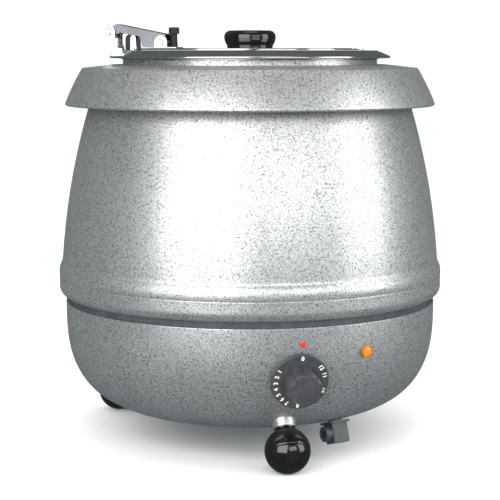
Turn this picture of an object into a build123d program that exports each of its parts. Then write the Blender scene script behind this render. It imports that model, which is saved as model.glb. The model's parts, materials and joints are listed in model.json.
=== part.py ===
from build123d import *
import os
from math import cos, radians, sin, sqrt

# Countertop soup kettle: a spun steel casing on three ball feet, a water bath
# with a lift-out pot, and a hinged lid on a loose ring.
# Millimetres. +Z is up, the control knob faces -Y, and the origin is on the
# kettle's vertical axis at the level of the feet's flats.

# ---------------------------------------------------------------- dimensions
steel = 1.2  # painted casing sheet
thin_steel = 0.8  # stainless water bath and pot
polished_steel = 1.0  # lid and lid ring sheet

# Barrel (upper shell) and its bead
lip_height = 128.4
lip_radius = 164.8
bead_radius = 170.1
bead_top = 158.5
barrel_foot_radius = 167.3
barrel_middle = (159.5, 222.0)
barrel_end = (134.6, 318.0)
shoulder_height = 329.1
shoulder_radius = 12.5

# Bowl (lower shell)
bowl_rim_radius = 164.6
bowl_rim_height = 122.7
bowl_floor_height = 27.0
bowl_floor_radius = 100.0
seam_flange_radius = 157.0  # inner edge of both seam flanges

# Collar and neck
collar_corner = (147.8, 327.3)
collar_bulge = (157.4, 309.5)
collar_edge = (162.6, 296.0)
collar_hem = 1.5
neck_radius = 112.1
neck_top = 335.0

# Water bath and pot
well_radius = 110.0
well_floor = 72.0
well_flange_radius = 113.5
pot_radius = 106.0
pot_floor = 88.0
pot_rim_radius = 109.0
pot_rim_height = 338.7
pot_rim_roll = 2.6

# Lid ring and lid
ring_tip_radius = 123.6
ring_tip_height = 336.9
ring_flat_height = 342.6
ring_flat_outer = 112.0
ring_opening_radius = 98.6
ring_skirt_radius = 104.8
ring_skirt_foot = 338.0
ring_hem = 1.1
lid_radius = 102.4
lid_panel_radius = 96.3
lid_seat = ring_flat_height + 0.3
lid_rim_top = lid_seat + polished_steel
lid_top = 344.5
notch_radius = 18.0
notch_angle = 60.0

# Lid hinge, in a plane that holds the kettle's axis
hinge_angle = -120.0
ring_pivot = (129.0, 359.0)
lid_pivot = (79.5, 349.8)
pin_radius = 2.0
pin_play = 0.06
link_half_width = 9.0
ear_gap = 0.4
ear_sheet = 1.2
ear_half_width = 6.1
lug_half_width = 5.9

# Feet
foot_radius = 19.0
foot_flat_radius = 4.0
foot_seat_height = 39.6  # where a foot's neck meets the bowl
foot_angles = (-3.0, 131.0, -137.0)

# Controls on the bowl: degrees from the front, and height
knob_angle = -1.0
knob_height = 81.0
pointer_height = 109.0
lamp_angle = 20.3
lamp_height = 99.0
gland_angle = 23.0
gland_height = 31.0

os.makedirs("parts", exist_ok=True)


# ------------------------------------------------------------------- helpers
def write(piece, name):
    """Label a finished piece and write it under its own name."""
    piece.part.label = name
    export_step(piece.part, f"parts/{name}.step")


def around(angle, radius, height):
    """Point at an angle from the front, turning from -Y towards +X."""
    return Vector(radius * sin(radians(angle)), -radius * cos(radians(angle)), height)


def radial_plane(angle):
    """Upright plane through the axis: local x runs outwards, local y runs up."""
    out = around(angle, 1, 0)
    return Plane(origin=(0, 0, 0), x_dir=out, z_dir=(out.Y, -out.X, 0))


def bowl_plane(angle, height):
    """Plane on the bowl's outer skin, its normal pointing out of the bowl."""
    low, high = 0.0, 1.0
    for _ in range(40):
        middle = (low + high) / 2
        if bowl_curve.position_at(middle).Z > height:
            low = middle
        else:
            high = middle
    spot = bowl_curve.position_at(low)
    slope = bowl_curve.tangent_at(low)
    level = around(angle, 1, 0)
    normal = level * -slope.Z + Vector(0, 0, slope.X)
    side = (cos(radians(angle)), sin(radians(angle)), 0)
    return Plane(origin=around(angle, spot.X, spot.Z), x_dir=side, z_dir=normal)


# ------------------------------------------------------- bowl, seam and base
bowl_points = (
    (bowl_rim_radius, bowl_rim_height),
    (163.6, 93.0),
    (155.6, 63.5),
    (132.2, 37.8),
    (bowl_floor_radius, bowl_floor_height),
)
with BuildLine(Plane.XZ) as bowl_line:
    Spline(*bowl_points, tangents=((0, -1), (-1, 0)), tangent_scalars=(0.5, 0.5))
bowl_curve = bowl_line.edges()[0]


def bowl_inside():
    """Points of the bowl's inner face, from the floor up to the rim."""
    points = []
    for radius, height in reversed(bowl_points):
        slope = bowl_curve.tangent_at(Vector(radius, 0, height))
        points.append((radius + slope.Z * steel, height - slope.X * steel))
    return points


knob_plane = bowl_plane(knob_angle, knob_height)
pointer_plane = bowl_plane(0, pointer_height)
lamp_plane = bowl_plane(lamp_angle, lamp_height)
gland_plane = bowl_plane(gland_angle, gland_height)

service_hole_radius = 54.0
base_plate_radius = 70.0
base_screw_circle = 62.0
knob_bush_radius = 4.8
pointer_peg_radius = 1.5
lamp_body_radius = 4.0
gland_neck_radius = 6.0
foot_stud_radius = 3.0

# A foot stands square to the bowl's skin, with its flat at height zero.
foot_centre_height = sqrt(foot_radius**2 - foot_flat_radius**2)
foot_seat = bowl_plane(0, foot_seat_height)
foot_reach = (foot_seat.origin.Z - foot_centre_height) / -foot_seat.z_dir.Z
foot_circle = -foot_seat.from_local_coords(Vector(0, 0, foot_reach)).Y
nut_seat = 2.0  # depth of a foot nut's face below the bowl's skin

with BuildPart() as bowl_solid:
    with BuildSketch(Plane.XZ):
        with BuildLine():
            Spline(*bowl_points, tangents=((0, -1), (-1, 0)), tangent_scalars=(0.5, 0.5))
            Polyline(
                (bowl_floor_radius, bowl_floor_height),
                (0, bowl_floor_height),
                (0, bowl_rim_height),
                (bowl_rim_radius, bowl_rim_height),
            )
        make_face()
    revolve(axis=Axis.Z)

with BuildPart() as lower_shell:
    with BuildSketch(Plane.XZ):
        with BuildLine():
            Spline(*bowl_points, tangents=((0, -1), (-1, 0)), tangent_scalars=(0.5, 0.5))
            Polyline(
                (bowl_floor_radius, bowl_floor_height),
                (service_hole_radius, bowl_floor_height),
                (service_hole_radius, bowl_floor_height + steel),
                (bowl_floor_radius, bowl_floor_height + steel),
            )
            Spline(*bowl_inside(), tangents=((1, 0), (0, 1)), tangent_scalars=(0.5, 0.5))
            Line((bowl_rim_radius - steel, bowl_rim_height), bowl_points[0])
        make_face()
        with Locations(((seam_flange_radius + bowl_rim_radius) / 2, bowl_rim_height - steel / 2)):
            Rectangle(bowl_rim_radius - seam_flange_radius, steel)
    revolve(axis=Axis.Z)
    for plane, radius in (
        (knob_plane, knob_bush_radius),
        (pointer_plane, pointer_peg_radius),
        (lamp_plane, lamp_body_radius),
        (gland_plane, gland_neck_radius),
        *((bowl_plane(angle, foot_seat_height), foot_stud_radius) for angle in foot_angles),
    ):
        with BuildSketch(plane):
            Circle(radius)
        extrude(amount=6, both=True, mode=Mode.SUBTRACT)
    with BuildSketch(Plane.XY.offset(bowl_floor_height)):
        with PolarLocations(base_screw_circle, 4, start_angle=45):
            Circle(2.0)
    extrude(amount=steel, mode=Mode.SUBTRACT)
write(lower_shell, "lower_shell")

with BuildPart() as seam_gasket:
    with BuildSketch(Plane.XY.offset(bowl_rim_height)):
        Circle(bowl_rim_radius - 0.7)
        Circle(seam_flange_radius, mode=Mode.SUBTRACT)
    extrude(amount=lip_height - bowl_rim_height)
write(seam_gasket, "seam_gasket")

with BuildPart() as base_plate:
    with BuildSketch(Plane.XY.offset(bowl_floor_height)):
        Circle(base_plate_radius)
    extrude(amount=-steel)
    with BuildSketch(Plane.XY.offset(bowl_floor_height - steel)):
        with PolarLocations(base_screw_circle, 4, start_angle=45):
            Circle(2.0)
    extrude(amount=steel, mode=Mode.SUBTRACT)
    fillet(base_plate.faces().sort_by(Axis.Z)[0].outer_wire().edges(), 0.8)
write(base_plate, "base_plate")

with BuildPart() as base_screws:
    with BuildSketch(Plane.XY.offset(bowl_floor_height - steel)):
        with PolarLocations(base_screw_circle, 4, start_angle=45):
            Circle(2.0)
    extrude(amount=7)
    with BuildSketch(Plane.XY.offset(bowl_floor_height - steel)):
        with PolarLocations(base_screw_circle, 4, start_angle=45):
            Circle(3.8)
    extrude(amount=-2.2, taper=12)
    with BuildSketch(Plane.XY.offset(bowl_floor_height - steel - 2.2)):
        with PolarLocations(base_screw_circle, 4, start_angle=45):
            Rectangle(4.4, 0.9)
            Rectangle(0.9, 4.4)
    extrude(amount=1.2, mode=Mode.SUBTRACT)
write(base_screws, "base_screws")


# -------------------------------------------------------------- upper shell
def bead_outline(inset):
    """Draw the lip, the two-step bead and the barrel up to the shoulder."""
    ThreePointArc(
        (lip_radius - inset, lip_height + inset),
        (168.6 - inset, 131.2 + inset * 0.7),
        (bead_radius - inset, 137.0),
    )
    if inset == 0:
        Line((bead_radius, 137.0), (bead_radius, 144.0))
        ThreePointArc((bead_radius, 144.0), (bead_radius - 0.7, 145.0), (bead_radius, 146.0))
    else:
        Line((bead_radius - inset, 137.0), (bead_radius - inset, 146.0))
    ThreePointArc(
        (bead_radius - inset, 146.0),
        (169.8 - inset, 152.8),
        (barrel_foot_radius - inset, bead_top),
    )
    ThreePointArc(
        (barrel_foot_radius - inset, bead_top),
        (barrel_middle[0] - inset, barrel_middle[1]),
        (barrel_end[0] - inset, barrel_end[1]),
    )


shoulder_corner = 126.0  # radius where barrel and shoulder would meet
with BuildPart() as upper_shell:
    with BuildSketch(Plane.XZ):
        with BuildLine():
            bead_outline(0)
            Polyline(
                barrel_end,
                (shoulder_corner, shoulder_height),
                (neck_radius, shoulder_height),
                (neck_radius, shoulder_height - steel),
                (shoulder_corner - steel, shoulder_height - steel),
                (barrel_end[0] - steel, barrel_end[1]),
            )
            bead_outline(steel)
            Polyline(
                (lip_radius - steel, lip_height + steel),
                (seam_flange_radius, lip_height + steel),
                (seam_flange_radius, lip_height),
                (lip_radius, lip_height),
            )
        make_face()
    revolve(axis=Axis.Z)
    outer_corner = upper_shell.edges().filter_by(GeomType.CIRCLE).filter_by(
        lambda e: abs(e.radius - shoulder_corner) < 0.01
    )
    fillet(outer_corner, shoulder_radius)
    inner_corner = upper_shell.edges().filter_by(GeomType.CIRCLE).filter_by(
        lambda e: abs(e.radius - shoulder_corner + steel) < 0.01
    )
    fillet(inner_corner, shoulder_radius - steel)
write(upper_shell, "upper_shell")

# ---------------------------------------------------------- collar and neck
collar_flat_radius = 121.0
with BuildPart() as collar:
    with BuildSketch(Plane.XZ):
        with BuildLine():
            Polyline(
                (neck_radius, shoulder_height + steel),
                (collar_flat_radius, shoulder_height + steel),
                collar_corner,
            )
            ThreePointArc(collar_corner, collar_bulge, collar_edge)
            Line(collar_edge, (collar_edge[0] - steel, collar_edge[1]))
            ThreePointArc(
                (collar_edge[0] - steel, collar_edge[1]),
                (collar_bulge[0] - steel, collar_bulge[1] - 0.3),
                (collar_corner[0] - steel, collar_corner[1] - steel),
            )
            Polyline(
                (collar_corner[0] - steel, collar_corner[1] - steel),
                (collar_flat_radius, shoulder_height),
                (neck_radius, shoulder_height),
                (neck_radius, shoulder_height + steel),
            )
        make_face()
        with Locations((collar_edge[0] - collar_hem + 0.4, collar_edge[1] + 0.2)):
            Circle(collar_hem)
    revolve(axis=Axis.Z)
    rounded = collar.edges().filter_by(GeomType.CIRCLE).filter_by(
        lambda e: abs(e.radius - collar_corner[0]) < 0.01
    )
    fillet(rounded, 2.0)
write(collar, "collar")

neck_foot = 318.0
with BuildPart() as neck_ring:
    with BuildSketch(Plane.XY.offset(neck_foot)):
        Circle(neck_radius)
        Circle(neck_radius - steel, mode=Mode.SUBTRACT)
    extrude(amount=neck_top - neck_foot)
write(neck_ring, "neck_ring")

# ------------------------------------------------------- water bath and pot
well_corner = 22.0
with BuildPart() as well:
    with BuildSketch(Plane.XZ):
        with BuildLine():
            Polyline(
                (0, well_floor),
                (well_radius, well_floor),
                (well_radius, neck_top),
                (well_flange_radius, neck_top),
                (well_flange_radius, neck_top + thin_steel),
                (well_radius - thin_steel, neck_top + thin_steel),
                (well_radius - thin_steel, well_floor + thin_steel),
                (0, well_floor + thin_steel),
                close=True,
            )
        make_face()
    revolve(axis=Axis.Z)
    outer_edge = well.edges().filter_by(GeomType.CIRCLE).group_by(Axis.Z)[0]
    fillet(outer_edge.sort_by(SortBy.RADIUS)[-1], well_corner)
    inner_edge = well.edges().filter_by(GeomType.CIRCLE).filter_by(
        lambda e: abs(e.radius - well_radius + thin_steel) < 0.01
    )
    fillet(inner_edge.sort_by(Axis.Z)[0], well_corner - thin_steel)
write(well, "well")

pot_corner = 18.0
with BuildPart() as soup_pot:
    with BuildSketch(Plane.XZ):
        with BuildLine():
            Polyline(
                (0, pot_floor),
                (pot_radius, pot_floor),
                (pot_radius, pot_rim_height - 0.4),
                (pot_rim_radius, pot_rim_height - 0.4),
                (pot_rim_radius, pot_rim_height + 0.4),
                (pot_radius - thin_steel, pot_rim_height + 0.4),
                (pot_radius - thin_steel, pot_floor + thin_steel),
                (0, pot_floor + thin_steel),
                close=True,
            )
        make_face()
        with Locations((pot_rim_radius, pot_rim_height)):
            Circle(pot_rim_roll)
    revolve(axis=Axis.Z)
    outer_edge = soup_pot.edges().filter_by(GeomType.CIRCLE).group_by(Axis.Z)[0]
    fillet(outer_edge.sort_by(SortBy.RADIUS)[-1], pot_corner)
    inner_edge = soup_pot.edges().filter_by(GeomType.CIRCLE).filter_by(
        lambda e: abs(e.radius - pot_radius + thin_steel) < 0.01
    )
    fillet(inner_edge.sort_by(Axis.Z)[0], pot_corner - thin_steel)
write(soup_pot, "soup_pot")

# ------------------------------------------------------------ lid ring, lid
ring_underside = ring_flat_height - polished_steel
with BuildPart() as lid_ring:
    with BuildSketch(Plane.XZ):
        with BuildLine():
            Polyline(
                (ring_tip_radius - ring_hem, ring_tip_height + 0.5),
                (ring_flat_outer, ring_flat_height),
                (ring_opening_radius, ring_flat_height),
                (ring_opening_radius, ring_underside),
                (ring_skirt_radius - polished_steel, ring_underside),
                (ring_skirt_radius - polished_steel, ring_skirt_foot),
                (ring_skirt_radius, ring_skirt_foot),
                (ring_skirt_radius, ring_underside),
                (ring_flat_outer - 0.3, ring_underside),
                (ring_tip_radius - ring_hem - 0.4, ring_tip_height - 0.5),
                close=True,
            )
        make_face()
        with Locations((ring_tip_radius - ring_hem, ring_tip_height)):
            Circle(ring_hem)
    revolve(axis=Axis.Z)
write(lid_ring, "lid_ring")

notch_centre = around(notch_angle, lid_radius, 0)
knob_screw_radius = 2.5
with BuildPart() as lid:
    with BuildSketch(Plane.XZ):
        with BuildLine():
            Polyline(
                (lid_radius, lid_seat),
                (lid_radius, lid_rim_top),
                (lid_panel_radius + 1.0, lid_rim_top),
                (lid_panel_radius, lid_top),
                (0, lid_top),
                (0, lid_top - polished_steel),
                (lid_panel_radius - 0.6, lid_top - polished_steel),
                (lid_panel_radius + 0.4, lid_seat),
                close=True,
            )
        make_face()
    revolve(axis=Axis.Z)
    with BuildSketch(Plane.XY.offset(lid_top)):
        with Locations((notch_centre.X, notch_centre.Y)):
            Circle(notch_radius)
        Circle(knob_screw_radius)
    extrude(amount=-5, mode=Mode.SUBTRACT)
write(lid, "lid")

knob_foot_radius = 20.0
knob_waist = (20.4, 347.0)
knob_rim_radius = 22.8
knob_rim_height = 355.0
knob_crown_radius = 17.8
knob_top = 360.0
with BuildPart() as lid_knob:
    with BuildSketch(Plane.XZ):
        with BuildLine():
            Polyline((0, lid_top), (knob_foot_radius, lid_top), knob_waist)
            ThreePointArc(
                knob_waist,
                (knob_rim_radius - 0.3, knob_rim_height - 3.4),
                (knob_rim_radius, knob_rim_height),
            )
            ThreePointArc(
                (knob_rim_radius, knob_rim_height),
                (knob_rim_radius - 1.5, knob_rim_height + 3.3),
                (knob_crown_radius, knob_top),
            )
            Polyline((knob_crown_radius, knob_top), (0, knob_top), (0, lid_top))
        make_face()
    revolve(axis=Axis.Z)
    with BuildSketch(Plane.XY.offset(lid_top)):
        Circle(knob_screw_radius)
    extrude(amount=9, mode=Mode.SUBTRACT)
write(lid_knob, "lid_knob")

with BuildPart() as lid_knob_screw:
    with BuildSketch(Plane.XY.offset(lid_top - polished_steel)):
        Circle(knob_screw_radius)
    extrude(amount=9)
    with BuildSketch(Plane.XY.offset(lid_top - polished_steel)):
        Circle(5.0)
    extrude(amount=-2.6, taper=14)
    with BuildSketch(Plane.XY.offset(lid_top - polished_steel - 2.6)):
        Rectangle(8.0, 1.0)
    extrude(amount=1.2, mode=Mode.SUBTRACT)
write(lid_knob_screw, "lid_knob_screw")

# -------------------------------------------------------------------- hinge
hinge_plane = radial_plane(hinge_angle)
ear_inside = link_half_width + ear_gap
ear_outside = ear_inside + ear_sheet
bracket_floor = 342.9
bracket_top = bracket_floor + ear_sheet
bracket_inner = 117.5
bracket_wedge = ring_flat_outer + 4.2


def bracket_ear():
    """Ear with a round top that widens into the bracket's floor."""
    x, z = ring_pivot
    Line((x + ear_half_width, bracket_floor), (x + ear_half_width, z))
    ThreePointArc((x + ear_half_width, z), (x, z + ear_half_width), (x - ear_half_width, z))
    Line((x - ear_half_width, z), (x - ear_half_width, 350.0))
    ThreePointArc(
        (x - ear_half_width, 350.0),
        (x - ear_half_width - 1.6, bracket_top + 1.6),
        (bracket_inner, bracket_top),
    )
    Polyline(
        (bracket_inner, bracket_top),
        (bracket_inner, bracket_floor),
        (x + ear_half_width, bracket_floor),
    )


with BuildPart() as hinge_bracket:
    for start in (ear_inside, -ear_outside):
        with BuildSketch(hinge_plane.offset(start)):
            with BuildLine():
                bracket_ear()
            make_face()
            with Locations(ring_pivot):
                Circle(pin_radius, mode=Mode.SUBTRACT)
        extrude(amount=ear_sheet)
    with BuildSketch(hinge_plane.offset(-ear_outside)):
        with BuildLine():
            Polyline(
                (bracket_wedge, bracket_top),
                (ring_pivot[0] + ear_half_width, bracket_top),
                (ring_pivot[0] + ear_half_width, bracket_floor),
                (125.0, bracket_floor),
                (121.5, ring_tip_height + 0.6),
                (bracket_wedge, ring_tip_height + 3.4),
                close=True,
            )
        make_face()
    extrude(amount=2 * ear_outside)
    add(lid_ring.part, mode=Mode.SUBTRACT)
write(hinge_bracket, "hinge_bracket")

arch_half_width = 6.8
arch_outer = 115.2
arch_inner = 103.6
arch_spring = 352.4
arch_crown = 358.0
arch_foot = 340.9


def arch_outline(inset):
    """Closed inverted U of the rest arch, moved in by an inset."""
    middle = (arch_outer + arch_inner) / 2 + 0.2
    Line((arch_outer - inset, arch_foot), (arch_outer - inset, arch_spring))
    ThreePointArc(
        (arch_outer - inset, arch_spring),
        (middle, arch_crown - inset),
        (arch_inner + inset + 0.8, arch_spring),
    )
    Polyline(
        (arch_inner + inset + 0.8, arch_spring),
        (arch_inner + inset, ring_flat_height),
        (arch_inner + inset, arch_foot),
        (arch_outer - inset, arch_foot),
    )


with BuildPart() as hinge_arch:
    with BuildSketch(hinge_plane.offset(-arch_half_width)):
        with BuildLine():
            arch_outline(0)
        make_face()
        with BuildLine():
            arch_outline(polished_steel)
        make_face(mode=Mode.SUBTRACT)
    extrude(amount=2 * arch_half_width)
    with BuildSketch(Plane.XY.offset(ring_flat_height)):
        Circle(ring_flat_outer)
    extrude(amount=-6, mode=Mode.SUBTRACT)
    add(lid_ring.part, mode=Mode.SUBTRACT)
write(hinge_arch, "hinge_arch")


def rivet(pivot, head_radius):
    """Rivet across the hinge with a low dome at each end."""
    with BuildPart() as pin:
        with BuildSketch(hinge_plane.offset(-ear_outside)):
            with Locations(pivot):
                Circle(pin_radius)
        extrude(amount=2 * ear_outside)
        for start, rise in ((ear_outside, 1.3), (-ear_outside, -1.3)):
            with BuildSketch(hinge_plane.offset(start)):
                with Locations(pivot):
                    Circle(head_radius)
            extrude(amount=rise, taper=35)
    return pin


ring_hinge_pin = rivet(ring_pivot, 3.6)
write(ring_hinge_pin, "ring_hinge_pin")
lid_hinge_pin = rivet(lid_pivot, 3.2)
write(lid_hinge_pin, "lid_hinge_pin")

web_outer = (122.4, 366.0)
web_inner = (75.6, 356.8)
link_toe = 345.1  # lowest edge of the link, just above the lid
link_narrow = (100.0, 354.8)  # where the side narrows towards the ring's rivet
web_slope = (web_outer[1] - web_inner[1]) / (web_outer[0] - web_inner[0])
link_sheet = 1.2
link_eye_radius = 5.4
lug_plate_inner = 65.0


def web_underside(radius):
    """Height of the underside of the link's web at a distance from the axis."""
    return web_outer[1] + web_slope * (radius - web_outer[0]) - link_sheet


with BuildPart() as hinge_link:
    with BuildSketch(hinge_plane.offset(-link_half_width)):
        with BuildLine():
            Polyline(
                web_outer,
                web_inner,
                (web_inner[0], link_toe + 3.3),
                (web_inner[0] + 1.8, link_toe + 1.1),
                (link_narrow[0] - 15.0, link_toe + 0.9),
                (link_narrow[0] - 11.4, link_toe),
                (link_narrow[0] - 2.8, link_toe),
                link_narrow,
                (web_outer[0], link_narrow[1] + 4.4),
                web_outer,
            )
        make_face()
        with Locations(ring_pivot):
            Circle(link_eye_radius)
        with BuildLine():
            Polyline(
                web_outer,
                (web_outer[0] + 4.0, web_outer[1] - 2.2),
                (web_outer[0] + 1.6, ring_pivot[1] - 2.0),
                (web_outer[0] - 4.4, ring_pivot[1] - 1.0),
                web_outer,
            )
        make_face()
    extrude(amount=2 * link_half_width)
    with BuildSketch(hinge_plane.offset(-link_half_width + link_sheet)):
        with BuildLine():
            Polyline(
                (lug_plate_inner, web_underside(lug_plate_inner)),
                (ring_tip_radius * 1.2, web_underside(ring_tip_radius * 1.2)),
                (ring_tip_radius * 1.2, neck_top),
                (lug_plate_inner, neck_top),
                close=True,
            )
        make_face()
    extrude(amount=2 * (link_half_width - link_sheet), mode=Mode.SUBTRACT)
    with BuildSketch(hinge_plane.offset(-link_half_width)):
        with Locations(ring_pivot, lid_pivot):
            Circle(pin_radius + pin_play)
    extrude(amount=2 * link_half_width, mode=Mode.SUBTRACT)
write(hinge_link, "hinge_link")


def lug_outline():
    """Lid lug with a round top."""
    x, z = lid_pivot
    Line((x + lug_half_width, lid_top), (x + lug_half_width, z))
    ThreePointArc((x + lug_half_width, z), (x, z + lug_half_width), (x - lug_half_width, z))
    Polyline(
        (x - lug_half_width, z),
        (x - lug_half_width, lid_top),
        (x + lug_half_width, lid_top),
    )


lug_plate_outer = lid_pivot[0] + lug_half_width
lug_plate = 1.0
bumper_place = 70.4
bumper_stem = 11.6
with BuildPart() as lid_lugs:
    for start in (ear_inside, -ear_outside):
        with BuildSketch(hinge_plane.offset(start)):
            with BuildLine():
                lug_outline()
            make_face()
            with Locations(lid_pivot):
                Circle(pin_radius, mode=Mode.SUBTRACT)
        extrude(amount=ear_sheet)
    with BuildSketch(hinge_plane.offset(-ear_outside)):
        with Locations(((lug_plate_inner + lug_plate_outer) / 2, lid_top + lug_plate / 2)):
            Rectangle(lug_plate_outer - lug_plate_inner, lug_plate)
    extrude(amount=2 * ear_outside)
write(lid_lugs, "lid_lugs")

with BuildPart() as lid_bumper:
    foot_of_bumper = around(hinge_angle, bumper_place, lid_top + lug_plate)
    with BuildSketch(Plane(origin=foot_of_bumper)):
        Circle(3.4)
    with BuildSketch(Plane(origin=foot_of_bumper + Vector(0, 0, bumper_stem))):
        Circle(2.9)
    loft()
    with BuildSketch(Plane(origin=foot_of_bumper + Vector(0, 0, bumper_stem))):
        Circle(4.8)
    extrude(amount=6.0)
    fillet(lid_bumper.faces().sort_by(Axis.Z)[-1].edges(), 1.6)
write(lid_bumper, "lid_bumper")

# --------------------------------------------------------------------- feet
foot_neck_radius = 8.6
boss_radius = 10.2
boss_taper = 8  # degrees
boss_height = 6.0
stud_in_foot = 8.0
stud_in_bowl = 9.0

with BuildPart() as feet:
    for angle in foot_angles:
        seat = bowl_plane(angle, foot_seat_height)
        with Locations(seat.from_local_coords(Vector(0, 0, foot_reach))):
            Sphere(foot_radius)
        with BuildSketch(seat.offset(boss_height)):
            Circle(foot_neck_radius)
        extrude(amount=foot_reach - boss_height)
        with BuildSketch(seat.offset(boss_height)):
            Circle(foot_stud_radius)
        extrude(amount=stud_in_foot, mode=Mode.SUBTRACT)
    with BuildSketch(Plane.XY):
        Circle(2 * bead_radius)
    extrude(amount=-foot_radius, mode=Mode.SUBTRACT)
write(feet, "feet")

with BuildPart() as foot_bosses:
    for angle in foot_angles:
        seat = bowl_plane(angle, foot_seat_height)
        with BuildSketch(seat):
            Circle(boss_radius)
        extrude(amount=boss_height, taper=boss_taper)
        with BuildSketch(seat):
            Circle(boss_radius)
        extrude(amount=-2.5)
        with BuildSketch(seat.offset(-2.5)):
            Circle(foot_stud_radius)
        extrude(amount=boss_height + 2.5, mode=Mode.SUBTRACT)
    add(bowl_solid.part, mode=Mode.SUBTRACT)
write(foot_bosses, "foot_bosses")

with BuildPart() as foot_studs:
    for angle in foot_angles:
        with BuildSketch(bowl_plane(angle, foot_seat_height).offset(boss_height + stud_in_foot)):
            Circle(foot_stud_radius)
        extrude(amount=-(boss_height + stud_in_foot + stud_in_bowl))
write(foot_studs, "foot_studs")

with BuildPart() as foot_nuts:
    for angle in foot_angles:
        with BuildSketch(bowl_plane(angle, foot_seat_height).offset(-nut_seat)):
            RegularPolygon(5.8, 6)
            Circle(foot_stud_radius, mode=Mode.SUBTRACT)
        extrude(amount=-4.8)
write(foot_nuts, "foot_nuts")

# ------------------------------------------------ control knob, thermostat
knob_skirt_radius = 24.0
knob_skirt_back = 3.4
knob_skirt_front = 6.6
knob_face = 24.2
grip_radius = 14.6
grip_lobes = 7
scallop_radius = 8.0
scallop_depth = 1.4
shaft_radius = 3.0
shaft_play = 0.06
shaft_end = 22.0
bush_end = 2.8
body_front = -4.0
body_depth = 17.0
bore_depth = 8.0

with BuildPart() as control_knob:
    with BuildSketch(knob_plane.offset(knob_skirt_back)):
        Circle(knob_skirt_radius)
    extrude(amount=knob_skirt_front - knob_skirt_back, taper=8)
    with BuildSketch(knob_plane.offset(knob_skirt_front)):
        Circle(grip_radius)
        with PolarLocations(grip_radius + scallop_radius - scallop_depth, grip_lobes, start_angle=90):
            Circle(scallop_radius, mode=Mode.SUBTRACT)
    extrude(amount=knob_face - knob_skirt_front, taper=2)
    front_edges = control_knob.faces().sort_by(Axis(knob_plane.origin, knob_plane.z_dir))[-1]
    chamfer(front_edges.edges(), 0.7)
    with BuildSketch(knob_plane.offset(knob_skirt_back)):
        Circle(shaft_radius)
    extrude(amount=shaft_end - knob_skirt_back, mode=Mode.SUBTRACT)
write(control_knob, "control_knob")

with BuildPart() as thermostat_shaft:
    with BuildSketch(knob_plane.offset(body_front - bore_depth)):
        Circle(shaft_radius)
    extrude(amount=shaft_end - body_front + bore_depth)
write(thermostat_shaft, "thermostat_shaft")

with BuildPart() as thermostat_body:
    with BuildSketch(knob_plane.offset(body_front)):
        RectangleRounded(34, 30, 3)
    extrude(amount=-body_depth)
    with BuildSketch(knob_plane.offset(body_front)):
        Circle(knob_bush_radius)
    extrude(amount=bush_end - body_front)
    with BuildSketch(knob_plane.offset(body_front - bore_depth)):
        Circle(shaft_radius + shaft_play)
    extrude(amount=bush_end - body_front + bore_depth, mode=Mode.SUBTRACT)
    with BuildSketch(knob_plane.offset(body_front - body_depth)):
        with Locations((-8, 6), (8, 6)):
            Rectangle(6.3, 0.8)
    extrude(amount=-8)
write(thermostat_body, "thermostat_body")

with BuildPart() as thermostat_nut:
    with BuildSketch(knob_plane.offset(0.35)):
        RegularPolygon(8.0, 6)
        Circle(knob_bush_radius, mode=Mode.SUBTRACT)
    extrude(amount=2.3)
write(thermostat_nut, "thermostat_nut")

with BuildPart() as knob_pointer:
    with BuildSketch(pointer_plane.offset(-3.0)):
        Circle(pointer_peg_radius)
    extrude(amount=3.2)
    with BuildSketch(pointer_plane.offset(0.15)):
        Circle(2.4)
    extrude(amount=0.9, taper=20)
write(knob_pointer, "knob_pointer")

# --------------------------------------------------------------- pilot lamp
lamp_bezel_radius = 5.6
lamp_lens_radius = 4.4
with BuildPart() as pilot_bezel:
    with BuildSketch(lamp_plane.offset(0.2)):
        Circle(lamp_bezel_radius)
        Circle(lamp_lens_radius, mode=Mode.SUBTRACT)
    extrude(amount=2.2)
    rim = pilot_bezel.faces().sort_by(Axis(lamp_plane.origin, lamp_plane.z_dir))[-1]
    chamfer(rim.outer_wire().edges(), 0.5)
write(pilot_bezel, "pilot_bezel")

with BuildPart() as pilot_lens:
    with BuildSketch(lamp_plane.offset(0.2)):
        Circle(lamp_lens_radius)
    extrude(amount=3.6)
    crown = pilot_lens.faces().sort_by(Axis(lamp_plane.origin, lamp_plane.z_dir))[-1]
    fillet(crown.edges(), 1.8)
write(pilot_lens, "pilot_lens")

with BuildPart() as pilot_body:
    with BuildSketch(lamp_plane.offset(0.2)):
        Circle(lamp_body_radius)
    extrude(amount=-24)
    with BuildSketch(lamp_plane.offset(-23.8)):
        with Locations((-2, 0), (2, 0)):
            Circle(0.6)
    extrude(amount=-6)
write(pilot_body, "pilot_body")

# --------------------------------------------------------------- cord gland
gland_side = 15.0
gland_length = 19.5
gland_flange = 19.5
gland_turn = -10.0
outlet_radius = 6.6
cord_bore_radius = 3.7
outlet_depth = 8.0
outlet_boss = 5.5
outlet_height = 10.8  # from the bowl to the outlet's axis
gland_foot = 1.0
flange_top = 2.8
gland_turned = gland_plane.rotated((0, 0, gland_turn))

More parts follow.
